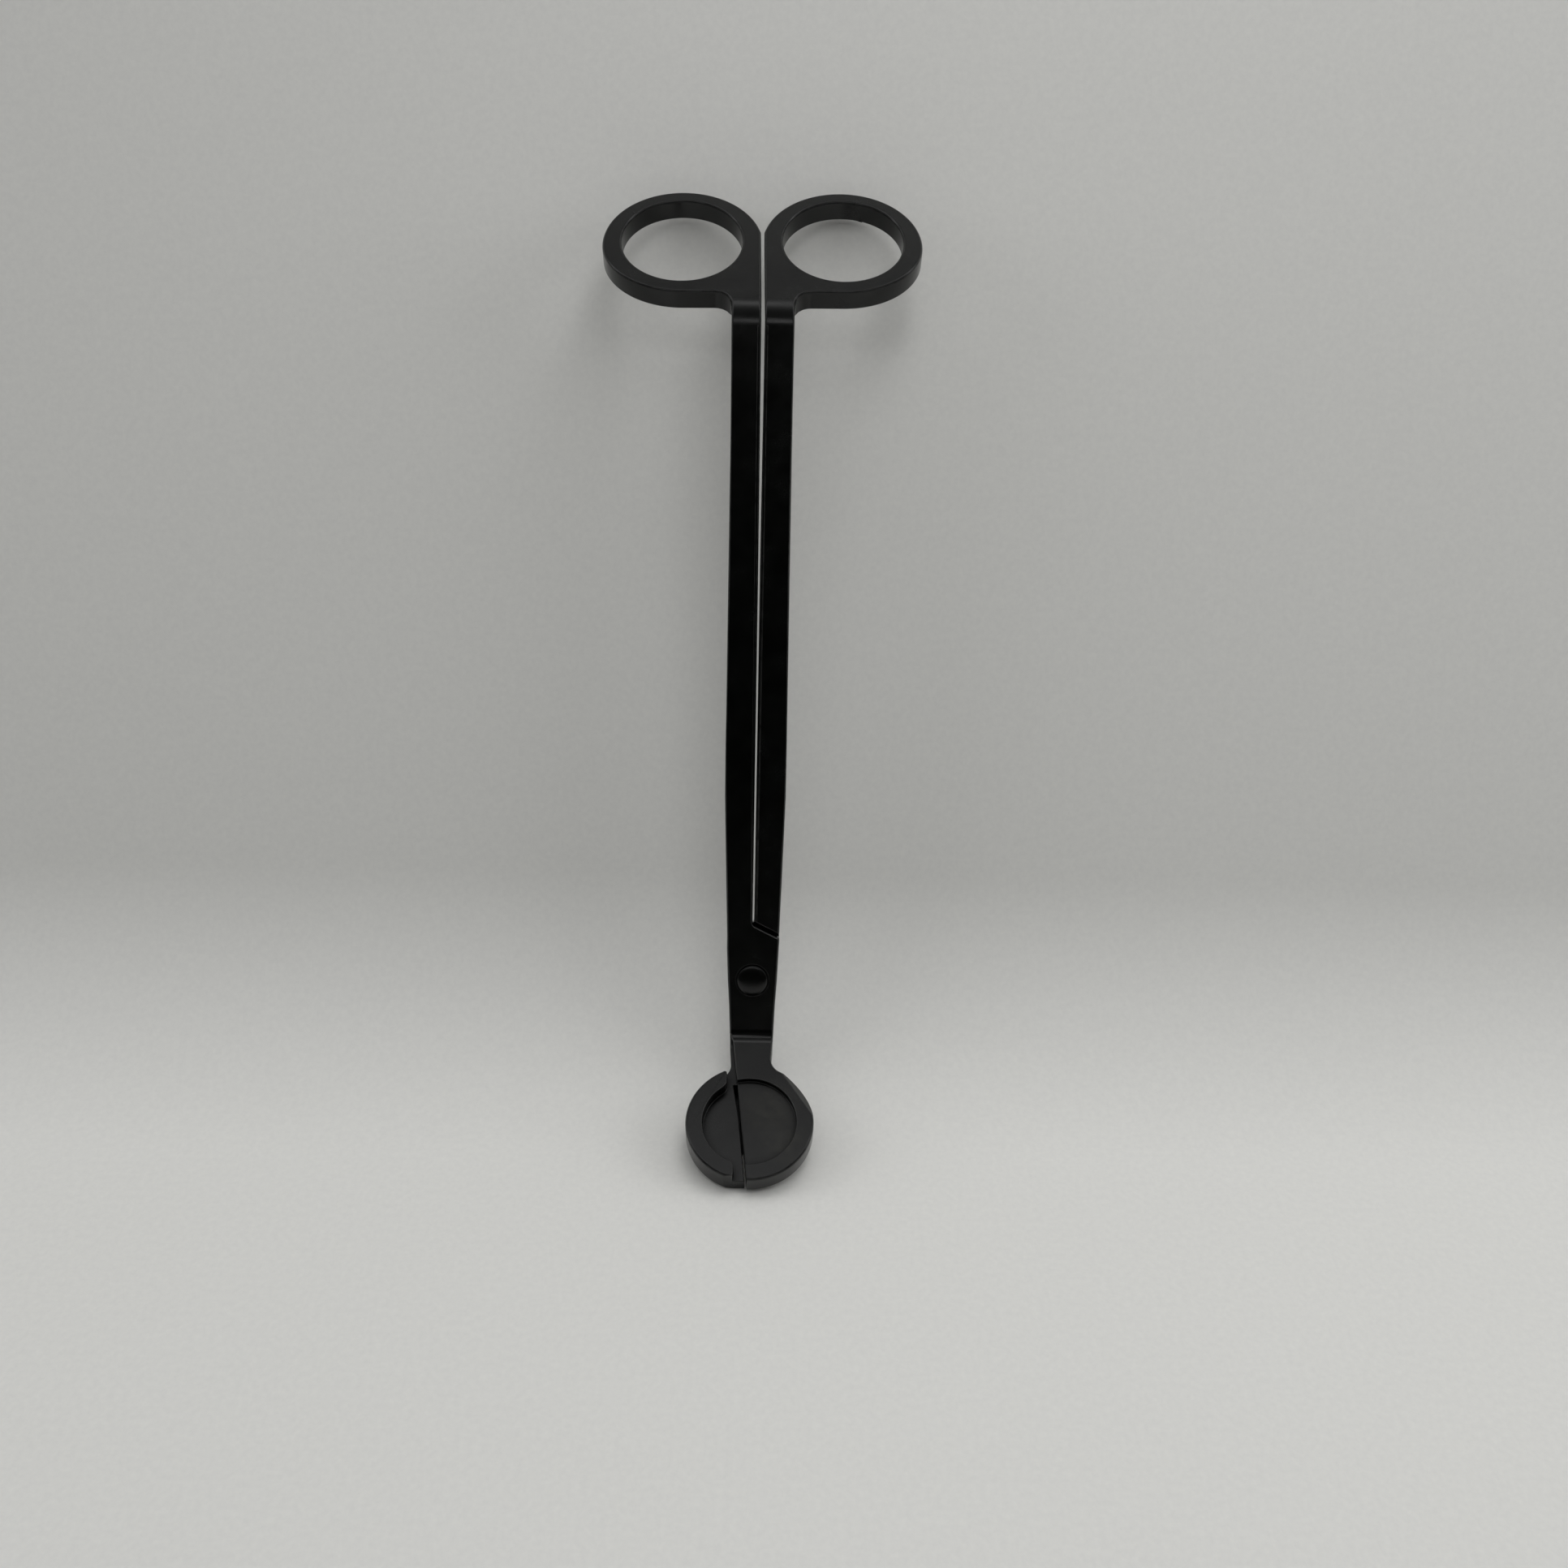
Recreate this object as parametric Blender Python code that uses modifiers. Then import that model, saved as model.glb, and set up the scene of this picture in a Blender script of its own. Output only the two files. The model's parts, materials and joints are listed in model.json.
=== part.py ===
"""Wick trimmer: two forged steel arms that cross in a half-lap and turn on one rivet.

Each arm is drawn flat, rounded, cut while flat, and then bent twice, as the real
forging is: backwards under the finger ring and forwards above the head.
Flat coordinates: x to the right, s up along the arm from the pivot, z out of
the front face (0 on the face, negative into the steel). Units are metres.
"""
import math

import bmesh
import bpy
from mathutils import Matrix, Vector

# --- driving dimensions -------------------------------------------------------
STOCK = 0.0040                # thickness of the forged bar
EDGE_ROUND = 0.00045          # rounding of every long edge
EDGE_STEPS = 2
SHARP_ANGLE = math.radians(60)   # edges sharper than this are rounded
CUT_MARGIN = 0.0012           # an outline runs this far past an edge that is cut later
FAR = 0.04                    # cutters reach this far past the work
LEAN = math.radians(23.0)     # the closed tool leans back while it stands on its tip

RING_BEND_AT = 0.1199         # pivot to the corner of the bend under the rings
RING_BEND = math.radians(43.0)
RING_BEND_RADIUS = 0.0072     # outside radius, on the front face
HEAD_BEND_AT = 0.01085        # pivot to the corner of the bend above the head
HEAD_BEND = math.radians(51.0)
HEAD_BEND_RADIUS = 0.0030     # inside radius, on the front face
BEND_STEPS = 12

RING_CENTRE = (0.0142, 0.0172)        # from the ring bend, for the right ring
RING_RADIUS = 0.0143
RING_LOWER_RADIUS = 0.0128            # the lower half of the ring is flatter
RING_FOOT = 0.0044                    # underside of the ring above the bend
RING_HOLE_CENTRE = (0.01435, 0.01815)
RING_HOLE_RADIUS = 0.01075
RING_INNER_SIDE = 0.0003
RING_SKEW = math.radians(1.2)         # the pair of rings sits slightly askew
RING_FILLET = 0.0030

# half width of one shank's outer side and inner side, at heights above the pivot
SHANK_OUTER = ((0.1185, 0.00545), (0.098, 0.00536), (0.076, 0.00538), (0.058, 0.00552),
               (0.041, 0.00560), (0.029, 0.00541), (0.0195, 0.0051), (0.0085, 0.0048))
SHANK_INNER = ((0.0140, 0.00015), (0.0200, 0.00015), (0.029, 0.00024), (0.041, 0.00036),
               (0.058, 0.00028), (0.076, 0.00017), (0.098, 0.00017), (0.1185, 0.00032))

# half-lap at the pivot
LAP_SIDE = ((0.0060, 0.00480), (0.0000, 0.00455), (-0.0050, 0.00425), (-0.0104, 0.00405))
SHOULDER_CORNER = (0.00486, 0.0080)
SHOULDER_ROOT = (-0.00015, 0.0105)
SHOULDER_CORNER_ROUND = 0.0005
SHOULDER_ROOT_ROUND = 0.0007
LAP_GAP = 0.0003
LAP_LEVEL = -STOCK / 2
SHOULDER_GAP = 0.0003
LAP_RAMP = 0.0016             # the lap's end wall slopes over this length

# neck and head; "reach" is measured from the head bend towards the tip
NECK_HALF = 0.0037
NECK_FLARE = 0.0030
NECK_RELIEF = 0.0006          # gap between the lapped necks
NECK_CUT_FROM = -0.0085
HEAD_CENTRE = (-0.0001, 0.01745)
HEAD_RADIUS = 0.0116
HEAD_RIM_INNER = 0.0085
HEAD_FLOOR = -0.0010
SEAM_START = -0.00343         # cutting edge: x at reach 0, and its slope
SEAM_SLOPE = 0.1084
SEAM_GAP = 0.0003
SEAM_FROM = 0.0012            # reach where the cutting edge leaves the neck
SEAM_NOTCH_X = -0.00385       # the notch's corner on the neck's left side
SEAM_NOTCH_REACH = -0.0004
SEAM_NECK_GAP = 0.0007
SEAM_STRAIGHT_REACH = 0.0155
THICK_HEAD_REACH = 0.0098     # the right half is full thickness beyond this reach
BACK_NECK_REACH = 0.0090
BACK_NECK_X = 0.0034
FACET_ANGLE = math.radians(-33.0)
FACET_DEPTH = 0.0014
FACET_TILT = math.radians(45.0)
FACET_LENGTH = 0.0130

LEFT_CENTRE = (-0.0001, 0.0176)
LEFT_RADIUS = 0.0114
CRESCENT_INNER = 0.0084
CRESCENT_ROUND = 0.0010
CRESCENT_CUT_REACH = 0.0062
CRESCENT_UPPER_X = -0.0043
CRESCENT_LOWER_X = -0.0027
LEFT_TIP_REACH = 0.0282
LEFT_EXTRA_DEPTH = 0.0010     # the left half hangs this much lower than the neck
SWELL_FROM = 0.0145
SWELL_LENGTH = 0.0050

# rivet
RIVET_SHAFT_RADIUS = 0.0018
RIVET_HEAD_RADIUS = 0.0028
RIVET_DOME = 0.00075
RIVET_RIM = 0.0002
RIVET_CLEARANCE = 0.0002
SEAT_DEPTH = 0.0003
RIVET_STEPS = 40

ARC_STEPS = 60                # segments in a full half-turn of an outline
STEEL = (0.013, 0.014, 0.014, 1.0)


# --- flat lengths -------------------------------------------------------------
RING_TANGENT = RING_BEND_RADIUS * math.tan(RING_BEND / 2)
RING_BEND_START = RING_BEND_AT - RING_TANGENT
RING_FLAT_ORIGIN = RING_BEND_START + RING_BEND_RADIUS * RING_BEND - RING_TANGENT
HEAD_TANGENT = HEAD_BEND_RADIUS * math.tan(HEAD_BEND / 2)
HEAD_BEND_START = -(HEAD_BEND_AT - HEAD_TANGENT)
HEAD_FLAT_ORIGIN = HEAD_BEND_START - HEAD_BEND_RADIUS * HEAD_BEND + HEAD_TANGENT


def head_point(x, reach):
    """A point of the head, given by its reach from the head bend."""
    return (x, HEAD_FLAT_ORIGIN - reach)


def seam_x(reach):
    return SEAM_START + SEAM_SLOPE * reach


def ring_point(side, x, height):
    """A point of one finger ring, turned by the pair's slight skew."""
    turned = Matrix.Rotation(RING_SKEW, 2) @ Vector((side * x, height))
    return (turned.x, RING_FLAT_ORIGIN + turned.y)


# --- outlines -----------------------------------------------------------------
def arc(centre, radius_x, radius_y, start, stop):
    """Points along an elliptical arc, angles in degrees."""
    steps = max(2, round(ARC_STEPS * abs(stop - start) / 180))
    points = []
    for i in range(steps + 1):
        angle = math.radians(start + (stop - start) * i / steps)
        points.append((centre[0] + radius_x * math.cos(angle), centre[1] + radius_y * math.sin(angle)))
    return points


def round_corner(before, corner, after, radius, steps=4):
    """Points of an arc that replaces a corner between two straight stretches."""
    a = (Vector(before) - Vector(corner)).normalized()
    b = (Vector(after) - Vector(corner)).normalized()
    half = a.angle(b) / 2
    centre = Vector(corner) + (a + b).normalized() * radius / math.sin(half)
    first = Vector(corner) + a * radius / math.tan(half) - centre
    last = Vector(corner) + b * radius / math.tan(half) - centre
    points = []
    for i in range(steps + 1):
        t = i / steps
        ray = first.lerp(last, t).normalized() * radius
        points.append(tuple(centre + ray))
    return points


def through(points, steps=4):
    """A smooth Catmull-Rom line through (s, x) stations, returned as (x, s) points."""
    stations = [Vector((x, s)) for s, x in points]
    stations = [2 * stations[0] - stations[1]] + stations + [2 * stations[-1] - stations[-2]]
    line = []
    for p0, p1, p2, p3 in zip(stations, stations[1:], stations[2:], stations[3:]):
        for i in range(steps):
            t = i / steps
            line.append(tuple(0.5 * (2 * p1 + (p2 - p0) * t + (2 * p0 - 5 * p1 + 4 * p2 - p3) * t * t
                                     + (3 * p1 - p0 - 3 * p2 + p3) * t * t * t)))
    line.append(tuple(stations[-2]))
    return line


def mirrored(points, side):
    return [(side * x, s) for x, s in points]


def ring_outline(side):
    """Outer edge of one ring, from its inner foot over the top to its fillet with the shank."""
    cx = RING_CENTRE[0]
    start = 180 - math.degrees(math.acos((cx - RING_INNER_SIDE) / RING_RADIUS))
    points = [(RING_INNER_SIDE, RING_FILLET)]
    points += arc(RING_CENTRE, RING_RADIUS, RING_RADIUS, start, 0)
    points += arc(RING_CENTRE, RING_RADIUS, RING_LOWER_RADIUS, 0, -90)[1:]
    shank = SHANK_OUTER[0][1]
    corner = (shank, RING_FOOT)
    points += round_corner((cx, RING_FOOT), corner, (shank, -RING_FILLET), RING_FILLET, 6)
    return [ring_point(side, x, y) for x, y in points]


def arm_outline(side):
    """Flat outline from the lap's foot on the inner side, round the ring, to the lap's other side."""
    lap = [(x, s) for s, x in LAP_SIDE]
    root = SHOULDER_ROOT
    corner = SHOULDER_CORNER
    inner_start = (SHANK_INNER[0][1] * -1, SHANK_INNER[0][0])
    crossing = list(reversed(lap))
    crossing += round_corner(lap[0], corner, root, SHOULDER_CORNER_ROUND)
    crossing += round_corner(corner, root, inner_start, SHOULDER_ROOT_ROUND)
    points = mirrored(crossing, -side)
    points += mirrored(through(SHANK_INNER), side)
    points += ring_outline(side)
    points += mirrored(through(SHANK_OUTER), side)
    points += mirrored(lap, side)
    return points


def flare(radius, centre, side):
    """Concave fillet from the neck's side to the head's circle, neck first."""
    away = radius + NECK_FLARE
    fillet_x = NECK_HALF + NECK_FLARE
    offset = fillet_x - side * centre[0]
    fillet_reach = centre[1] - math.sqrt(away * away - offset * offset)
    touch = math.degrees(math.asin((centre[1] - fillet_reach) / away))
    turn = arc((fillet_x, fillet_reach), NECK_FLARE, NECK_FLARE, 180, 180 - touch)
    return [(side * x, reach) for x, reach in turn], touch


def front_head():
    """Right half of the head, from the neck's right side round the tip and up past the seam."""
    points, touch = flare(HEAD_RADIUS, HEAD_CENTRE, 1)
    tip_x = seam_x(HEAD_CENTRE[1] + HEAD_RADIUS) - CUT_MARGIN - HEAD_CENTRE[0]
    stop = 90 - math.degrees(math.asin(tip_x / HEAD_RADIUS))
    points += arc(HEAD_CENTRE, HEAD_RADIUS, HEAD_RADIUS, -touch, stop)[1:]
    points.append((seam_x(SEAM_FROM) - CUT_MARGIN, SEAM_FROM))
    return [head_point(x, reach) for x, reach in points]


def beside_right_half():
    """Everything left of the right half's cutting edge."""
    start = (SEAM_NOTCH_X, SEAM_NOTCH_REACH)
    points = [(-FAR, start[1]), start, (seam_x(SEAM_FROM), SEAM_FROM), (seam_x(FAR), FAR), (-FAR, FAR)]
    return [head_point(x, reach) for x, reach in points]


def back_head():
    """Left half of the head, from the neck's left side round the tip and up past the seam."""
    points, touch = flare(LEFT_RADIUS, LEFT_CENTRE, -1)
    tip_x = seam_x(LEFT_TIP_REACH) + CUT_MARGIN - LEFT_CENTRE[0]
    stop = 90 - math.degrees(math.asin(tip_x / LEFT_RADIUS))
    points += arc(LEFT_CENTRE, LEFT_RADIUS, LEFT_RADIUS, 180 + touch, stop)[1:]
    points.append((seam_x(BACK_NECK_REACH) + CUT_MARGIN, BACK_NECK_REACH + CUT_MARGIN))
    points.append((BACK_NECK_X, BACK_NECK_REACH + CUT_MARGIN))
    return [head_point(x, reach) for x, reach in points]


def beside_left_half():
    """Everything right of the left half's edge, and everything past its blunt tip."""
    points = [(seam_x(BACK_NECK_REACH) - SEAM_NECK_GAP, BACK_NECK_REACH),
              (seam_x(SEAM_STRAIGHT_REACH) - SEAM_GAP, SEAM_STRAIGHT_REACH),
              (seam_x(LEFT_TIP_REACH) - SEAM_GAP, LEFT_TIP_REACH),
              (-FAR, LEFT_TIP_REACH), (-FAR, FAR), (FAR, FAR), (FAR, BACK_NECK_REACH)]
    return [head_point(x, reach) for x, reach in points]


def crescent_end(end_x, side):
    """One rounded end of the crescent; side is -1 above the head's centre and 1 below it.

    The curve starts on the inner wall and runs out past the outer wall.
    """
    cx, cy = LEFT_CENTRE
    start_x = end_x - CRESCENT_ROUND
    start_y = cy + side * math.sqrt(CRESCENT_INNER ** 2 - (start_x - cx) ** 2)
    inner_y = cy + side * math.sqrt(CRESCENT_INNER ** 2 - (end_x - cx) ** 2)
    outer_y = cy + side * math.sqrt(LEFT_RADIUS ** 2 - (end_x - cx) ** 2)
    inner_end = (end_x, inner_y + side * CRESCENT_ROUND)
    outer_start = (end_x, outer_y - side * CRESCENT_ROUND)
    leave_x = end_x - CRESCENT_ROUND
    leave_y = cy + side * math.sqrt(LEFT_RADIUS ** 2 - (leave_x - cx) ** 2)
    past = (leave_x - CUT_MARGIN, leave_y + side * CUT_MARGIN)
    points = soft_corner((start_x, start_y), (end_x, inner_y), inner_end)
    points += soft_corner(outer_start, (end_x, outer_y), (leave_x, leave_y))
    points.append(past)
    return points


def soft_corner(before, corner, after, steps=6):
    """Curve between two points that is drawn towards a corner."""
    points = []
    for i in range(steps + 1):
        t = i / steps
        first = Vector(before).lerp(Vector(corner), t)
        second = Vector(corner).lerp(Vector(after), t)
        points.append(tuple(first.lerp(second, t)))
    return points


def crescent():
    """Raised rim of the left half, with rounded ends; its outer side stands clear of the wall."""
    cx, cy = LEFT_CENTRE
    upper = crescent_end(CRESCENT_UPPER_X, -1)
    lower = crescent_end(CRESCENT_LOWER_X, 1)
    clear = LEFT_RADIUS + 2 * CUT_MARGIN
    start = math.degrees(math.atan2(upper[-1][1] - cy, upper[-1][0] - cx)) % 360
    stop = math.degrees(math.atan2(lower[-1][1] - cy, lower[-1][0] - cx)) % 360
    inner_start = math.degrees(math.atan2(lower[0][1] - cy, lower[0][0] - cx)) % 360
    inner_stop = math.degrees(math.atan2(upper[0][1] - cy, upper[0][0] - cx)) % 360
    points = upper + arc(LEFT_CENTRE, clear, clear, start, stop) + list(reversed(lower))
    points += arc(LEFT_CENTRE, CRESCENT_INNER, CRESCENT_INNER, inner_start + 2, inner_stop - 2)
    return [head_point(x, reach) for x, reach in points]


# --- modelling helpers --------------------------------------------------------
def new_collection(name):
    collection = bpy.data.collections.new(name)
    bpy.context.scene.collection.children.link(collection)
    return collection


def mesh_from(obj):
    """The evaluated, welded mesh of an object."""
    depsgraph = bpy.context.evaluated_depsgraph_get()
    mesh = bpy.data.meshes.new_from_object(obj.evaluated_get(depsgraph))
    bm = bmesh.new()
    bm.from_mesh(mesh)
    bmesh.ops.remove_doubles(bm, verts=bm.verts, dist=2e-6)
    bmesh.ops.dissolve_limit(bm, angle_limit=math.radians(0.3), verts=bm.verts, edges=bm.edges)
    bm.to_mesh(mesh)
    bm.free()
    return mesh


def plate(name, outlines, low, high, collection):
    """A flat outline, with any holes, extruded between two levels."""
    curve = bpy.data.curves.new(name, 'CURVE')
    curve.dimensions = '2D'
    curve.fill_mode = 'BOTH'
    curve.extrude = (high - low) / 2
    for outline in outlines:
        spline = curve.splines.new('POLY')
        spline.points.add(len(outline) - 1)
        for point, (x, y) in zip(spline.points, outline):
            point.co = (x, y, 0, 1)
        spline.use_cyclic_u = True
    guide = bpy.data.objects.new(name + '_outline', curve)
    collection.objects.link(guide)
    bpy.context.view_layer.update()
    mesh = mesh_from(guide)
    mesh.transform(Matrix.Translation((0, 0, (high + low) / 2)))
    bpy.data.objects.remove(guide)
    bpy.data.curves.remove(curve)
    obj = bpy.data.objects.new(name, mesh)
    collection.objects.link(obj)
    return obj


def combine(obj, other, operation):
    """Join or cut with a Boolean and keep the result as the object's mesh."""
    modifier = obj.modifiers.new(operation.lower(), 'BOOLEAN')
    modifier.operation = operation
    modifier.solver = 'EXACT'
    modifier.object = other
    bpy.context.view_layer.update()
    mesh = mesh_from(obj)
    obj.modifiers.clear()
    obj.data = mesh
    bpy.data.objects.remove(other)


def round_edges(obj):
    """Rounds the rims of a flat plate, front and back."""
    modifier = obj.modifiers.new('edge_round', 'BEVEL')
    modifier.width = EDGE_ROUND
    modifier.segments = EDGE_STEPS
    modifier.limit_method = 'ANGLE'
    modifier.angle_limit = SHARP_ANGLE
    modifier.use_clamp_overlap = False
    bpy.context.view_layer.update()
    mesh = mesh_from(obj)
    obj.modifiers.clear()
    obj.data = mesh


# --- cuts ---------------------------------------------------------------------
def cut_lap(obj, side, face, outside, foot, collection):
    """Takes away one half of the thickness, from the lap's face outwards.

    side is the arm's own ring side. The cut's end wall follows the other arm's
    shoulder across this arm's shank, and slopes away towards the outside.
    """
    root = Vector(SHOULDER_ROOT)
    corner = Vector(SHOULDER_CORNER)
    slope = (corner - root).normalized()
    clear = Vector((-slope.y, slope.x)) * SHOULDER_GAP
    start = root + clear
    end = corner + clear + slope * SHANK_OUTER[0][1]
    far = -2 * SHANK_OUTER[0][1]
    outline = [(far, start.y), tuple(start), tuple(end), (end.x, foot), (far, foot)]
    cutter = plate('lap', [mirrored(outline, side)], 0, 1, collection)
    for vertex in cutter.data.vertices:
        opens = vertex.co.z > 0.5
        vertex.co.z = outside if opens else face
        if opens and vertex.co.y > end.y - LAP_RAMP:
            vertex.co.y += LAP_RAMP
    outward(cutter)
    combine(obj, cutter, 'DIFFERENCE')


def cut_neck(obj, face, outside, foot, collection):
    """Deepens the lap below the pivot, where the bent necks need room to swing."""
    half = 2 * HEAD_RADIUS
    outline = [(-half, NECK_CUT_FROM), (half, NECK_CUT_FROM), (half, foot), (-half, foot)]
    cutter = plate('neck', [outline], min(face, outside), max(face, outside), collection)
    combine(obj, cutter, 'DIFFERENCE')


def tray_around_crescent(face, collection):
    """Everything above the lower neck and the left half's floor, except the crescent."""
    half = 2 * HEAD_RADIUS
    beyond_tip = HEAD_FLAT_ORIGIN - HEAD_CENTRE[1] - half
    outline = [(-half, NECK_CUT_FROM), (half, NECK_CUT_FROM), (half, beyond_tip), (-half, beyond_tip)]
    return plate('tray', [outline, crescent()], face, STOCK, collection)


def outward(obj):
    bm = bmesh.new()
    bm.from_mesh(obj.data)
    bmesh.ops.recalc_face_normals(bm, faces=bm.faces)
    bm.to_mesh(obj.data)
    bm.free()


def rivet_hole(obj, collection):
    bpy.ops.mesh.primitive_cylinder_add(vertices=RIVET_STEPS, radius=RIVET_SHAFT_RADIUS + RIVET_CLEARANCE,
                                        depth=3 * STOCK, location=(0, 0, LAP_LEVEL))
    combine(obj, applied(bpy.context.object, collection), 'DIFFERENCE')


def rivet_seat(obj, level, collection):
    bpy.ops.mesh.primitive_cylinder_add(vertices=RIVET_STEPS, radius=RIVET_HEAD_RADIUS + RIVET_CLEARANCE,
                                        depth=2 * SEAT_DEPTH, location=(0, 0, level))
    combine(obj, applied(bpy.context.object, collection), 'DIFFERENCE')


def applied(obj, collection):
    """Moves a new primitive's placement into its mesh and its object into a collection."""
    obj.data.transform(obj.matrix_world)
    obj.matrix_world = Matrix()
    for owner in list(obj.users_collection):
        owner.objects.unlink(obj)
    collection.objects.link(obj)
    return obj


def facet_cutter(collection):
    """A slanted block that takes a long facet off the right half's upper shoulder."""
    bpy.ops.mesh.primitive_cube_add(size=FACET_LENGTH)
    block = bpy.context.object
    centre_x, centre_s = head_point(*HEAD_CENTRE)
    ray = Vector((math.cos(FACET_ANGLE), -math.sin(FACET_ANGLE), 0))
    top_point = Vector((centre_x, centre_s, 0)) + ray * (HEAD_RADIUS - FACET_DEPTH)
    normal = ray * math.cos(FACET_TILT) + Vector((0, 0, math.sin(FACET_TILT)))
    turn = Vector((0, 0, 1)).rotation_difference(normal).to_matrix().to_4x4()
    block.matrix_world = Matrix.Translation(top_point + normal * FACET_LENGTH / 2) @ turn
    bpy.context.view_layer.update()
    return applied(block, collection)


# --- bending ------------------------------------------------------------------
def bend_flat(point, swell):
    """Where a point of the flat arm ends up once the arm is bent."""
    x, s, z = point
    if swell and z < LAP_LEVEL - NECK_RELIEF:
        depth = (LAP_LEVEL - z) / (LAP_LEVEL + STOCK)
        travel = min(max((-SWELL_FROM - s) / SWELL_LENGTH, 0), 1)
        z -= LEFT_EXTRA_DEPTH * depth * travel * travel * (3 - 2 * travel)
    if s > RING_BEND_START:
        along = s - RING_BEND_START
        turned = min(along / RING_BEND_RADIUS, RING_BEND)
        beyond = along - turned * RING_BEND_RADIUS
        y = RING_BEND_START + (RING_BEND_RADIUS + z) * math.sin(turned) + beyond * math.cos(turned)
        height = -RING_BEND_RADIUS + (RING_BEND_RADIUS + z) * math.cos(turned) - beyond * math.sin(turned)
        return (x, y, height)
    if s < HEAD_BEND_START:
        along = HEAD_BEND_START - s
        turned = min(along / HEAD_BEND_RADIUS, HEAD_BEND)
        beyond = along - turned * HEAD_BEND_RADIUS
        y = HEAD_BEND_START - (HEAD_BEND_RADIUS - z) * math.sin(turned) - beyond * math.cos(turned)
        height = HEAD_BEND_RADIUS - (HEAD_BEND_RADIUS - z) * math.cos(turned) + beyond * math.sin(turned)
        return (x, y, height)
    return (x, s, z)


def bend_arm(obj, swell):
    """Cuts cross lines through the bends, then bends the mesh."""
    bm = bmesh.new()
    bm.from_mesh(obj.data)
    stations = []
    for i in range(BEND_STEPS + 1):
        stations.append(RING_BEND_START + RING_BEND_RADIUS * RING_BEND * i / BEND_STEPS)
        stations.append(HEAD_BEND_START - HEAD_BEND_RADIUS * HEAD_BEND * i / BEND_STEPS)
    if swell:
        stations += [-SWELL_FROM - SWELL_LENGTH * i / BEND_STEPS for i in range(BEND_STEPS + 1)]
    for station in stations:
        bmesh.ops.bisect_plane(bm, geom=bm.verts[:] + bm.edges[:] + bm.faces[:], dist=1e-7,
                               plane_co=(0, station, 0), plane_no=(0, 1, 0))
    for vertex in bm.verts:
        vertex.co = bend_flat(vertex.co, swell)
    bmesh.ops.remove_doubles(bm, verts=bm.verts, dist=1e-6)
    bmesh.ops.triangulate(bm, faces=[face for face in bm.faces if len(face.verts) > 4])
    bm.to_mesh(obj.data)
    bm.free()


# --- the pieces ---------------------------------------------------------------
def steel(name, roughness):
    material = bpy.data.materials.new(name)
    material.use_nodes = True
    shader = material.node_tree.nodes['Principled BSDF']
    shader.inputs['Base Color'].default_value = STEEL
    shader.inputs['Roughness'].default_value = roughness
    shader.inputs['Metallic'].default_value = 0.0
    return material


def ring_hole(side):
    circle = arc(RING_HOLE_CENTRE, RING_HOLE_RADIUS, RING_HOLE_RADIUS, 0, 360)[:-1]
    return [ring_point(side, x, y) for x, y in circle]


def finish_arm(arm, seat_level, swell, pivot, cutters):
    rivet_hole(arm, cutters)
    rivet_seat(arm, seat_level, cutters)
    bend_arm(arm, swell)
    arm.data.shade_smooth()
    arm.data.set_sharp_from_angle(angle=math.radians(28))
    arm.parent = pivot


def make_front_arm(parts, cutters, pivot):
    """Left ring, upper half of the lap, and the right half of the head with its cutting edge."""
    outline = arm_outline(-1) + list(reversed(front_head()))
    arm = plate('front_arm', [outline, ring_hole(-1)], -STOCK, 0, parts)
    round_edges(arm)
    thick_from = HEAD_FLAT_ORIGIN - THICK_HEAD_REACH
    cut_lap(arm, -1, LAP_LEVEL + LAP_GAP / 2, -2 * STOCK, thick_from, cutters)
    cut_neck(arm, LAP_LEVEL + NECK_RELIEF / 2, -2 * STOCK, thick_from, cutters)
    floor = arc(head_point(*HEAD_CENTRE), HEAD_RIM_INNER, HEAD_RIM_INNER, 0, 360)[:-1]
    combine(arm, plate('tray', [floor], HEAD_FLOOR, STOCK, cutters), 'DIFFERENCE')
    combine(arm, facet_cutter(cutters), 'DIFFERENCE')
    combine(arm, plate('seam', [beside_right_half()], -2 * STOCK, STOCK, cutters), 'DIFFERENCE')
    finish_arm(arm, 0, False, pivot, cutters)
    arm.data.materials.clear()
    arm.data.materials.append(steel('front_arm_coat', 0.38))
    return arm


def make_back_arm(parts, cutters, pivot):
    """Right ring, lower half of the lap, and the left half of the head with its raised crescent."""
    outline = arm_outline(1) + list(reversed(back_head()))
    arm = plate('back_arm', [outline, ring_hole(1)], -STOCK, 0, parts)
    round_edges(arm)
    cut_foot = HEAD_FLAT_ORIGIN - CRESCENT_CUT_REACH
    face = LAP_LEVEL - NECK_RELIEF / 2
    cut_lap(arm, 1, LAP_LEVEL - LAP_GAP / 2, STOCK, cut_foot, cutters)
    combine(arm, tray_around_crescent(face, cutters), 'DIFFERENCE')
    combine(arm, plate('seam', [beside_left_half()], -2 * STOCK, STOCK, cutters), 'DIFFERENCE')
    finish_arm(arm, -STOCK, True, pivot, cutters)
    arm.data.materials.clear()
    arm.data.materials.append(steel('back_arm_coat', 0.40))
    return arm


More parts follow.
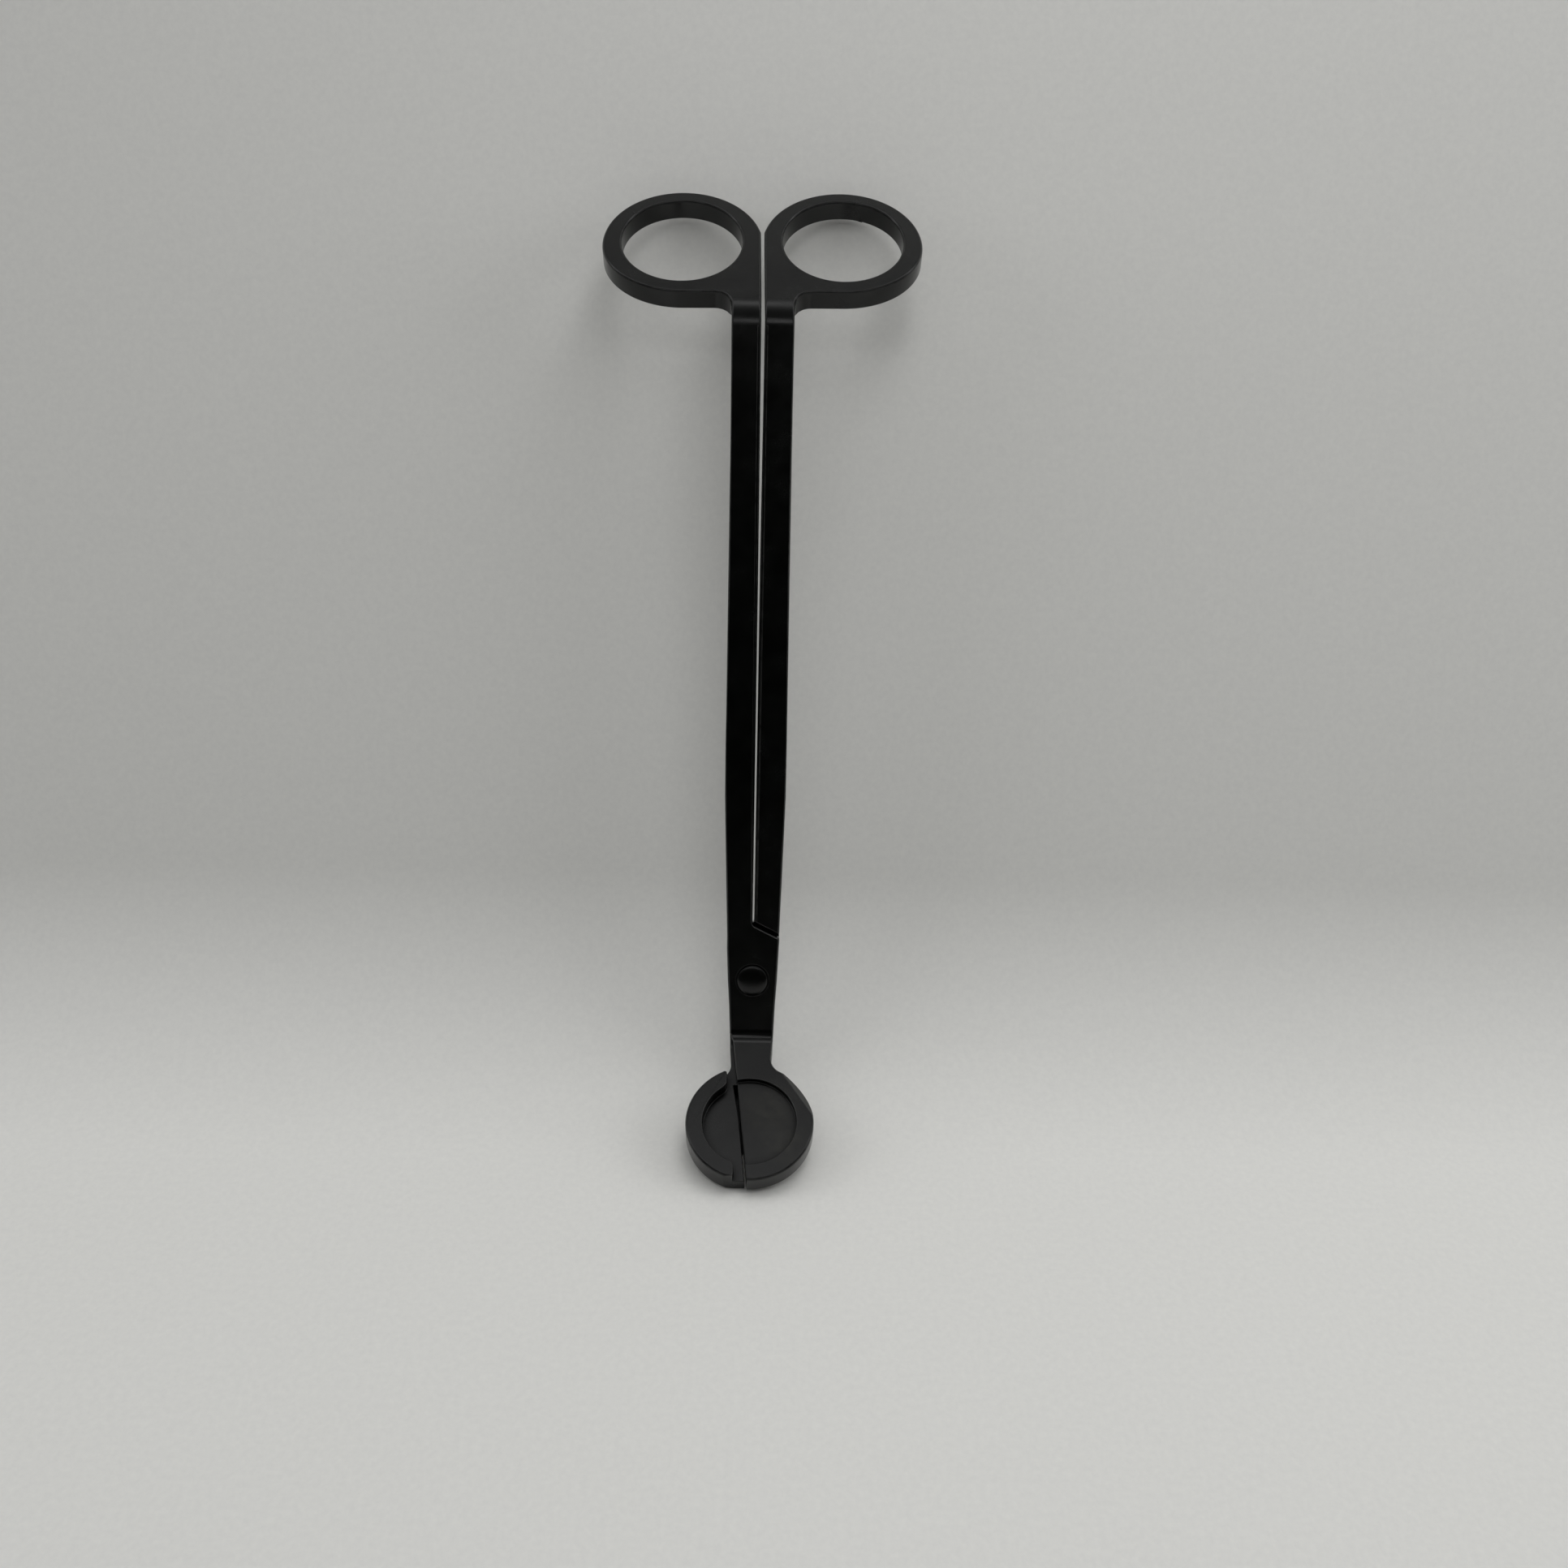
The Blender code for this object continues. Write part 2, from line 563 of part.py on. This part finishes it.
def make_rivet(parts, pivot):
    """Turned rivet: low domed head in front, peened dome behind."""
    front = RIVET_CLEARANCE - SEAT_DEPTH
    back = -STOCK - front
    rim = RIVET_HEAD_RADIUS
    shaft = RIVET_SHAFT_RADIUS
    profile = [(0, RIVET_DOME)]
    for i in range(1, 7):
        angle = math.pi / 2 * i / 6
        profile.append((rim * math.sin(angle), RIVET_RIM + (RIVET_DOME - RIVET_RIM) * math.cos(angle)))
    profile += [(rim, front), (shaft, front), (shaft, back), (rim, back)]
    for radius, height in reversed(profile[:7]):
        profile.append((radius, -STOCK - height))
    mesh = bpy.data.meshes.new('pivot_rivet')
    edges = [(i, i + 1) for i in range(len(profile) - 1)]
    mesh.from_pydata([(radius, 0, height) for radius, height in profile], edges, [])
    rivet = bpy.data.objects.new('pivot_rivet', mesh)
    parts.objects.link(rivet)
    screw = rivet.modifiers.new('turn', 'SCREW')
    screw.steps = RIVET_STEPS
    screw.render_steps = RIVET_STEPS
    screw.use_merge_vertices = True
    screw.merge_threshold = 0.00001
    screw.use_normal_calculate = True
    rivet.parent = pivot
    mesh.materials.append(steel('rivet_coat', 0.34))
    return rivet


def stand(pivot):
    """Stands the tool on its tip: front towards -Y, leaning back, box centred over the origin."""
    upright = Matrix.Rotation(math.radians(90), 4, 'X')
    pivot.matrix_world = Matrix.Rotation(-LEAN, 4, 'X') @ upright
    bpy.context.view_layer.update()
    depsgraph = bpy.context.evaluated_depsgraph_get()
    corners = []
    for child in pivot.children:
        evaluated = child.evaluated_get(depsgraph)
        corners += [evaluated.matrix_world @ vertex.co for vertex in evaluated.data.vertices]
    low = [min(corner[axis] for corner in corners) for axis in range(3)]
    high = [max(corner[axis] for corner in corners) for axis in range(3)]
    pivot.location = (-(low[0] + high[0]) / 2, -(low[1] + high[1]) / 2, -low[2])


def main():
    for obj in list(bpy.data.objects):
        bpy.data.objects.remove(obj, do_unlink=True)
    parts = new_collection('wick_trimmer')
    cutters = new_collection('cutters')
    pivot = bpy.data.objects.new('pivot', None)
    parts.objects.link(pivot)
    make_front_arm(parts, cutters, pivot)
    make_back_arm(parts, cutters, pivot)
    make_rivet(parts, pivot)
    stand(pivot)


main()
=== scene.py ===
"""Wick trimmer, dressed for the camera: two forgings and a rivet under a satin black coat.

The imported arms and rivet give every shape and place. Each one is copied, cleaned of
sliver faces, eased along its cut edges as a coated forging is, and gets its own
procedural coat.
"""
import json
import math

import bmesh
import bpy
from mathutils import Matrix, Vector


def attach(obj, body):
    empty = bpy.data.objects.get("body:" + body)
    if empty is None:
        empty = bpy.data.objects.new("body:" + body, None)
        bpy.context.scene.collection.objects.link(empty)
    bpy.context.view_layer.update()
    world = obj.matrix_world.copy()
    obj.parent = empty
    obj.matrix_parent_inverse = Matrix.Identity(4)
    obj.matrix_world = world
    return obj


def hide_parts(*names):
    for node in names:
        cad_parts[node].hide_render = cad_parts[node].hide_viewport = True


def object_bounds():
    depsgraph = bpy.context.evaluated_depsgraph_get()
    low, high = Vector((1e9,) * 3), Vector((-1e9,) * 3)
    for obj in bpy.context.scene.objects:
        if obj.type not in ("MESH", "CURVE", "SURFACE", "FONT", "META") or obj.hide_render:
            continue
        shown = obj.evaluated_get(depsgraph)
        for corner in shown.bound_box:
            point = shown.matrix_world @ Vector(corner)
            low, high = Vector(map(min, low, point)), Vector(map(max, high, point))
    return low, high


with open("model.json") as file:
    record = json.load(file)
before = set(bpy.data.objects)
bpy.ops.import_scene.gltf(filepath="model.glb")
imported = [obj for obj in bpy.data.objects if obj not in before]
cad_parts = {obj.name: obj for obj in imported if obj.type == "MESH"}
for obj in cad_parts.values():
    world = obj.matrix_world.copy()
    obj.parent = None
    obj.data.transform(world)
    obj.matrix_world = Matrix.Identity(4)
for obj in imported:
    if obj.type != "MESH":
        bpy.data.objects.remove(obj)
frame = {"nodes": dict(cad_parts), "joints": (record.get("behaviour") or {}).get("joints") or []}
cad_low, cad_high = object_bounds()

MM = 0.001
SCENE = bpy.context.scene

# --- the tool's own axes, from the frame --------------------------------------
STOCK = 4.0 * MM                       # thickness of the forged bar
HINGE = frame["joints"][0]
FRONT = -Vector(HINGE["axis"])         # out of the shank's front face
PIVOT = Vector(HINGE["pos_m"]) + FRONT * STOCK / 2     # on that front face
ALONG = FRONT.cross(Vector((1, 0, 0)))                 # up the shank

# --- how the camera sees the tool ---------------------------------------------
SHANK_TILT = math.radians(10.0)        # shank plane against the picture plane
SHANK_ROLL = math.radians(1.1)
SHANK_YAW = math.radians(-0.46)
PIVOT_SEEN = Vector((-5.86, 36.35, 290.65)) * MM    # right, down and away from the camera
LENS = 36.056                          # lens and sensor in millimetres
SENSOR = 36.0
CLIP_START = 0.01


# --- fine meshes --------------------------------------------------------------
SLIVER = 0.03 * MM                     # faces thinner than this are Boolean leftovers
FLAT_ANGLE = math.radians(1.0)
CUT_ANGLE = math.radians(36)           # sharper edges than this are eased
EASE_SEGMENTS = 3
EASED = "eased"                        # attribute that marks the eased faces
SAME_PLANE = math.radians(1.5)
BROAD = 12 * MM * MM                   # a flat larger than this shades flat


def baked(obj, name):
    """A new object with another one's evaluated mesh."""
    bpy.context.view_layer.update()
    evaluated = obj.evaluated_get(bpy.context.evaluated_depsgraph_get())
    mesh = bpy.data.meshes.new_from_object(evaluated)
    mesh.name = name
    piece = bpy.data.objects.new(name, mesh)
    SCENE.collection.objects.link(piece)
    return piece


def flat_regions(bm):
    """Each face's region of one plane, with the regions' areas and normals."""
    region = {}
    areas = []
    normals = []
    for seed in sorted(bm.faces, key=lambda face: -face.calc_area()):
        if seed in region:
            continue
        region[seed] = len(areas)
        stack = [seed]
        area = 0.0
        normal = Vector()
        while stack:
            face = stack.pop()
            area += face.calc_area()
            normal += face.normal * face.calc_area()
            for edge in face.edges:
                for other in edge.link_faces:
                    if other in region:
                        continue
                    if other.normal.angle(seed.normal, math.pi) < SAME_PLANE:
                        region[other] = region[seed]
                        stack.append(other)
        areas.append(area)
        normals.append(normal.normalized())
    return region, areas, normals


def settle_normals(mesh):
    """Broad flats shade flat right up to their eased edges; everything else shades smooth."""
    bm = bmesh.new()
    bm.from_mesh(mesh)
    bm.normal_update()
    region, areas, normals = flat_regions(bm)
    settled = []
    for vert in bm.verts:
        widest = max((region[face] for face in vert.link_faces), key=lambda i: areas[i])
        if areas[widest] > BROAD:
            settled.append(normals[widest])
        else:
            mean = sum((face.normal * face.calc_area() for face in vert.link_faces), Vector())
            settled.append(mean.normalized())
    bm.free()
    mesh.shade_smooth()
    mesh.normals_split_custom_set_from_vertices(settled)


def mark_eased(mesh):
    """Moves the eased faces' mark from their material index to an attribute of their own."""
    mark = mesh.attributes.new(EASED, "FLOAT", "FACE")
    for face, value in zip(mesh.polygons, mark.data):
        value.value = float(face.material_index)
        face.material_index = 0


def clean(mesh):
    """Removes slivers and the edges that cross flat faces."""
    bm = bmesh.new()
    bm.from_mesh(mesh)
    bmesh.ops.remove_doubles(bm, verts=bm.verts, dist=SLIVER)
    bmesh.ops.dissolve_degenerate(bm, dist=SLIVER, edges=bm.edges)
    bmesh.ops.dissolve_limit(bm, angle_limit=FLAT_ANGLE, verts=bm.verts, edges=bm.edges)
    bm.to_mesh(mesh)
    bm.free()


def forged(node, name, softness):
    """A copy of a CAD node whose cut edges are eased and whose flat faces shade flat."""
    draft = bpy.data.objects.new(name + "_draft", frame["nodes"][node].data.copy())
    SCENE.collection.objects.link(draft)
    clean(draft.data)
    draft.data.materials.clear()
    draft.data.materials.append(None)
    draft.data.materials.append(None)  # a second slot, for the eased faces
    draft.data.shade_smooth()
    ease = draft.modifiers.new("ease", "BEVEL")
    ease.width = softness
    ease.segments = EASE_SEGMENTS
    ease.limit_method = "ANGLE"
    ease.angle_limit = CUT_ANGLE
    ease.use_clamp_overlap = False
    ease.miter_outer = "MITER_ARC"
    ease.material = 1
    fine = baked(draft, name)
    bpy.data.objects.remove(draft)
    mark_eased(fine.data)
    settle_normals(fine.data)
    return fine


# --- procedural coats ---------------------------------------------------------
COAT_DARK = (0.00091, 0.00105, 0.00091, 1)
COAT_LIGHT = (0.00195, 0.00225, 0.00195, 1)
# edge tint: partly real edge wear, partly a painted highlight along the eased edges
WEAR_AND_HIGHLIGHT = (0.020, 0.020, 0.0195, 1)
# painted shade: the near-black colour laid into corners and recesses
PAINTED_CORNER_SHADE = (0.0004, 0.0004, 0.0004, 1)
PALE_MARK = (0.012, 0.0118, 0.0085, 1)
DARK_MARK = (0.0012, 0.0012, 0.0012, 1)

CLOUD_SIZE = 5 * MM
GRAIN_SIZE = 0.16 * MM
GRAIN_DEPTH = 0.006 * MM
PEEL_SIZE = 0.7 * MM
PEEL_DEPTH = 0.012 * MM
WEAR_SIZE = 1.6 * MM
MARK_SIZE = 1.8 * MM
PAINTED_SHADE_REACH = 1.8 * MM                     # how far the painted shade from corners reaches onto the faces beside them
SHINE_DEEP = 0.03                      # specular level in a corner, and in the open; the lower level in corners is painted shade
SHINE_OPEN = 0.36


class Nodes:
    """Short helpers for building a material's node tree."""

    def __init__(self, name):
        self.material = bpy.data.materials.new(name)
        self.material.use_nodes = True
        self.tree = self.material.node_tree
        self.shader = self.tree.nodes["Principled BSDF"]
        self.place = self.add("ShaderNodeTexCoord").outputs["Object"]

    def add(self, kind, **settings):
        node = self.tree.nodes.new(kind)
        for key, value in settings.items():
            setattr(node, key, value)
        return node

    def link(self, start, end):
        self.tree.links.new(start, end)

    def noise(self, size, detail=2.0, rough=0.5):
        """Noise whose blotches are about this big, in metres."""
        node = self.add("ShaderNodeTexNoise")
        node.inputs["Scale"].default_value = 1 / size
        node.inputs["Detail"].default_value = detail
        node.inputs["Roughness"].default_value = rough
        self.link(self.place, node.inputs["Vector"])
        return node.outputs["Fac"]

    def spread(self, value, low, high, to_low, to_high):
        node = self.add("ShaderNodeMapRange")
        node.inputs["From Min"].default_value = low
        node.inputs["From Max"].default_value = high
        node.inputs["To Min"].default_value = to_low
        node.inputs["To Max"].default_value = to_high
        self.link(value, node.inputs["Value"])
        return node.outputs["Result"]

    def math(self, operation, first, second):
        node = self.add("ShaderNodeMath", operation=operation)
        for socket, value in zip(node.inputs, (first, second)):
            if isinstance(value, float):
                socket.default_value = value
            else:
                self.link(value, socket)
        return node.outputs["Value"]

    def mix(self, share, first, second):
        node = self.add("ShaderNodeMix", data_type="RGBA")
        self.link(share, node.inputs["Factor"])
        for socket, value in (("A", first), ("B", second)):
            target = [s for s in node.inputs if s.name == socket and s.type == "RGBA"][0]
            if isinstance(value, tuple):
                target.default_value = value
            else:
                self.link(value, target)
        return [s for s in node.outputs if s.type == "RGBA"][0]

    def open_share(self, reach):
        """One on open faces, falling to zero deep inside corners and recesses, where the coat gets
        painted shade.
        """
        node = self.add("ShaderNodeAmbientOcclusion", samples=4, only_local=True)
        node.inputs["Distance"].default_value = reach
        return self.spread(node.outputs["AO"], 0.40, 0.86, 0.0, 1.0)

    def blot(self, centre, radius):
        """Share of a ragged spot round a point, full over its middle."""
        away = self.add("ShaderNodeVectorMath", operation="DISTANCE")
        self.link(self.place, away.inputs[0])
        away.inputs[1].default_value = centre
        near = self.spread(away.outputs["Value"], 0.3 * radius, radius, 1.0, 0.0)
        ragged = self.spread(self.noise(MARK_SIZE, 4.0, 0.6), 0.3, 0.7, 0.0, 1.0)
        return self.math("MULTIPLY", near, ragged)

    def bump(self, height, distance, strength, under=None):
        node = self.add("ShaderNodeBump")
        node.inputs["Distance"].default_value = distance
        node.inputs["Strength"].default_value = strength
        self.link(height, node.inputs["Height"])
        if under is not None:
            self.link(under, node.inputs["Normal"])
        return node.outputs["Normal"]


def coat(name, roughness, marks=()):
    """Satin black coat on steel: fine grain, cloudy sheen, worn edges lightened partly as a
    painted highlight, handling marks, and painted shade in corners and recesses.
    """
    n = Nodes(name)
    cloud = n.noise(CLOUD_SIZE, 3.0, 0.55)
    grain = n.noise(GRAIN_SIZE, 2.0, 0.6)
    tone = n.mix(n.spread(cloud, 0.35, 0.7, 0.0, 1.0), COAT_DARK, COAT_LIGHT)
    for centre, radius, mark in marks:
        tone = n.mix(n.blot(centre, radius), tone, mark)
    eased = n.add("ShaderNodeAttribute", attribute_name=EASED).outputs["Fac"]
    patches = n.spread(n.noise(WEAR_SIZE), 0.3, 0.6, 0.35, 1.0)
    # lighter eased edges: partly wear, partly a painted highlight
    tone = n.mix(n.math("MULTIPLY", eased, patches), tone, WEAR_AND_HIGHLIGHT)
    # painted shade: corners and recesses turn near-black and lose most of their specular level
    clear = n.open_share(PAINTED_SHADE_REACH)
    shine = n.spread(clear, 0.0, 1.0, SHINE_DEEP, SHINE_OPEN)
    n.link(n.mix(clear, PAINTED_CORNER_SHADE, tone), n.shader.inputs["Base Color"])
    n.link(shine, n.shader.inputs["Specular IOR Level"])
    sheen = n.spread(cloud, 0.3, 0.7, roughness - 0.03, roughness + 0.04)
    sheen = n.math("ADD", sheen, n.spread(grain, 0.3, 0.7, -0.03, 0.03))
    n.link(sheen, n.shader.inputs["Roughness"])
    fine = n.bump(grain, GRAIN_DEPTH, 0.35)
    relief = n.bump(n.noise(PEEL_SIZE, 2.0, 0.5), PEEL_DEPTH, 0.35, fine)
    n.link(relief, n.shader.inputs["Normal"])
    return n.material


# --- the stage ----------------------------------------------------------------
WALL_GAP = 2.3 * MM                    # between the rings' tops and the wall
WALL_LEAN = math.radians(25.5)
SWEEP_RADIUS = 52 * MM
SWEEP_STEPS = 24
STAGE_REACH = 1.2
STAGE_HEIGHT = 0.45
PAPER_DARK = (0.66, 0.66, 0.64, 1)
PAPER_LIGHT = (0.70, 0.70, 0.675, 1)
FIBRE_SIZE = 1.1 * MM
FIBRE_DEPTH = 0.03 * MM


def paper():
    """Pale paper; from behind it lets the camera through."""
    n = Nodes("paper")
    fibre = n.noise(FIBRE_SIZE, 4.0, 0.6)
    tone = n.mix(n.spread(fibre, 0.3, 0.7, 0.0, 1.0), PAPER_DARK, PAPER_LIGHT)
    n.link(tone, n.shader.inputs["Base Color"])
    n.shader.inputs["Roughness"].default_value = 0.75
    n.link(n.bump(fibre, FIBRE_DEPTH, 0.25), n.shader.inputs["Normal"])
    clear = n.add("ShaderNodeBsdfTransparent")
    blend = n.add("ShaderNodeMixShader")
    output = n.tree.nodes["Material Output"]
    n.link(n.add("ShaderNodeNewGeometry").outputs["Backfacing"], blend.inputs["Fac"])
    n.link(n.shader.outputs["BSDF"], blend.inputs[1])
    n.link(clear.outputs["BSDF"], blend.inputs[2])
    n.link(blend.outputs["Shader"], output.inputs["Surface"])
    return n.material


def sweep_profile():
    """Side view of the paper, (y, z) from the front edge of the floor to the top of the wall.

    The wall leans back like the tool and passes just behind the tops of the rings.
    """
    def curve(turn):
        return SWEEP_RADIUS * math.sin(turn), SWEEP_RADIUS * (1 - math.cos(turn))

    turned = math.pi / 2 - WALL_LEAN
    slope = math.tan(WALL_LEAN)
    depth, height = curve(turned)
    start = cad_high.y + WALL_GAP - depth - slope * (cad_high.z - height)
    profile = [(-STAGE_REACH, 0.0), (start - SWEEP_RADIUS, 0.0)]
    for i in range(SWEEP_STEPS + 1):
        y, z = curve(turned * i / SWEEP_STEPS)
        profile.append((start + y, z))
    profile.append((start + depth + slope * (STAGE_HEIGHT - height), STAGE_HEIGHT))
    return profile


def sheet(name, profile, half_width, material):
    """A profile in y and z drawn out to both sides, facing up and to the front."""
    bm = bmesh.new()
    rows = []
    for x in (-half_width, half_width):
        rows.append([bm.verts.new((x, y, z)) for y, z in profile])
    for i in range(len(profile) - 1):
        bm.faces.new((rows[0][i], rows[1][i], rows[1][i + 1], rows[0][i + 1]))
    mesh = bpy.data.meshes.new(name)
    bm.to_mesh(mesh)
    bm.free()
    mesh.shade_smooth()
    mesh.materials.append(material)
    obj = bpy.data.objects.new(name, mesh)
    SCENE.collection.objects.link(obj)


# --- the light ----------------------------------------------------------------
def soft_light(name, place, target, size, power, reflected=False):
    """A rectangular lamp; unless reflected, it lights the scene but isn't mirrored in the coat."""
    light = bpy.data.lights.new(name, "AREA")
    light.shape = "RECTANGLE"
    light.size = size[0]
    light.size_y = size[1]
    light.energy = power
    lamp = bpy.data.objects.new(name, light)
    lamp.location = place
    lamp.rotation_euler = (Vector(target) - Vector(place)).to_track_quat("-Z", "Y").to_euler()
    lamp.visible_glossy = reflected
    SCENE.collection.objects.link(lamp)


ROOM_STRENGTH = 1.85
PLAIN_BACKDROP = (0.42, 0.42, 0.405, 1)    # what a camera beside or behind the paper sees
ROOM_LIGHT = (                         # degrees up from the front horizon and over, brightness
    (0, 0.02), (8, 0.004), (16, 0.001), (28, 0.001), (36, 0.03), (48, 0.04), (62, 0.07),
    (76, 0.10), (86, 0.35), (91, 1.0), (97, 1.0), (101, 0.32), (105, 0.26), (118, 0.14),
    (150, 0.12), (180, 0.10))


def room_ramp(tree):
    """The room's brightness by the angle up from the front horizon, over the top to the back."""
    def math_node(operation, second=None):
        node = tree.nodes.new("ShaderNodeMath")
        node.operation = operation
        if second is not None:
            node.inputs[1].default_value = second
        return node

    split = tree.nodes.new("ShaderNodeSeparateXYZ")
    forward = math_node("MULTIPLY", -1.0)
    angle = math_node("ARCTAN2")
    share = math_node("DIVIDE", math.pi)
    ramp = tree.nodes.new("ShaderNodeValToRGB")
    place = tree.nodes.new("ShaderNodeTexCoord").outputs["Generated"]
    tree.links.new(place, split.inputs["Vector"])
    tree.links.new(split.outputs["Y"], forward.inputs[0])
    tree.links.new(split.outputs["Z"], angle.inputs[0])
    tree.links.new(forward.outputs["Value"], angle.inputs[1])
    tree.links.new(angle.outputs["Value"], share.inputs[0])
    tree.links.new(share.outputs["Value"], ramp.inputs["Fac"])
    stops = ramp.color_ramp.elements
    for degrees, light in ROOM_LIGHT[1:-1]:
        stops.new(degrees / 180).color = (light, light, light, 1)
    for stop, (_, light) in ((stops[0], ROOM_LIGHT[0]), (stops[-1], ROOM_LIGHT[-1])):
        stop.color = (light, light, light, 1)
    return ramp.outputs["Color"]


def surroundings():
    """A dark room in front and pale strips overhead for the coat; plain for the camera."""
    world = bpy.data.worlds.new("room")
    world.use_nodes = True
    tree = world.node_tree
    room = tree.nodes["Background"]
    room.inputs["Strength"].default_value = ROOM_STRENGTH
    tree.links.new(room_ramp(tree), room.inputs["Color"])
    plain = tree.nodes.new("ShaderNodeBackground")
    plain.inputs["Color"].default_value = PLAIN_BACKDROP
    blend = tree.nodes.new("ShaderNodeMixShader")
    seen = tree.nodes.new("ShaderNodeLightPath").outputs["Is Camera Ray"]
    tree.links.new(seen, blend.inputs["Fac"])
    tree.links.new(room.outputs["Background"], blend.inputs[1])
    tree.links.new(plain.outputs["Background"], blend.inputs[2])
    tree.links.new(blend.outputs["Shader"], tree.nodes["World Output"].inputs["Surface"])
    SCENE.world = world


# --- the camera ---------------------------------------------------------------
def shank_axes():
    """The shank's right, up and front directions as the camera sees them (right, down, away)."""
    right = Vector((1, 0, 0))
    up = Vector((0, -math.cos(SHANK_TILT), -math.sin(SHANK_TILT)))
    front = Vector((0, math.sin(SHANK_TILT), -math.cos(SHANK_TILT)))
    right, front = (math.cos(SHANK_YAW) * right + math.sin(SHANK_YAW) * front,
                    math.cos(SHANK_YAW) * front - math.sin(SHANK_YAW) * right)
    right, up = (math.cos(SHANK_ROLL) * right - math.sin(SHANK_ROLL) * up,
                 math.cos(SHANK_ROLL) * up + math.sin(SHANK_ROLL) * right)
    return right, up, front


def make_camera():
    """Puts the camera where the pivot and the shank appear as PIVOT_SEEN and the angles say."""
    seen = Matrix(shank_axes()).transposed()
    real = Matrix((Vector((1, 0, 0)), ALONG, FRONT)).transposed()
    turn = real @ seen.inverted()
    camera = bpy.data.objects.new("camera", bpy.data.cameras.new("camera"))
    camera.data.lens = LENS
    camera.data.sensor_width = SENSOR
    camera.data.clip_start = CLIP_START
    flip = Matrix(((1, 0, 0), (0, -1, 0), (0, 0, -1)))
    place = Matrix.Translation(PIVOT - turn @ PIVOT_SEEN)
    camera.matrix_world = place @ (turn @ flip).to_4x4()
    SCENE.collection.objects.link(camera)
    SCENE.camera = camera


# --- put together -------------------------------------------------------------
ARM_EASE = 0.16 * MM
RIVET_EASE = 0.08 * MM
HEAD_CENTRE = Vector((0, -41.0, 7.5)) * MM
TRAY_MARKS = (                         # place, radius and tone of each handling mark
    (HEAD_CENTRE + Vector((4.0, 0.5, 0)) * MM, 6.0 * MM, PALE_MARK),
    (HEAD_CENTRE + Vector((1.5, 7.0, 2.0)) * MM, 4.0 * MM, DARK_MARK),
    (HEAD_CENTRE + Vector((6.5, -6.5, -1.5)) * MM, 5.0 * MM, PALE_MARK))


def piece(node, name, body, ease, slot, roughness, marks=()):
    """The fine version of one CAD node, on that node's body, in its own coat."""
    fine = forged(node, name, ease)
    fine.data.materials.clear()
    fine.data.materials.append(coat(slot, roughness, marks))
    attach(fine, body)
    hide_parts(node)


def dress():
    """Every piece over its CAD solid."""
    piece("front_arm", "front_arm_forging", "front_half", ARM_EASE,
          "front_arm_coat", 0.22, TRAY_MARKS)
    piece("back_arm", "back_arm_forging", "back_half", ARM_EASE, "back_arm_coat", 0.23)
    piece("pivot_rivet", "pivot_rivet_turned", "front_half", RIVET_EASE, "rivet_coat", 0.22)


dress()
sheet("paper_sweep", sweep_profile(), STAGE_REACH, paper())
soft_light("front_strip", (0, -0.23, 0.36), (0, 0, 0.08), (0.40, 0.035), 0.10, reflected=True)
soft_light("overhead", (0.08, 0.03, 0.50), (0, 0.03, 0), (0.62, 0.20), 0.68)
soft_light("top_wash", (0.12, 0.10, 0.40), (0.05, 0.13, 0.24), (0.70, 0.06), 0.10)
soft_light("left_box", (-0.55, -0.06, 0.30), (0, 0, 0.06), (0.40, 0.40), 0.72)
soft_light("right_box", (0.55, -0.06, 0.30), (0, 0, 0.06), (0.40, 0.40), 1.02)
surroundings()
make_camera()
SCENE.view_settings.view_transform = "Standard"
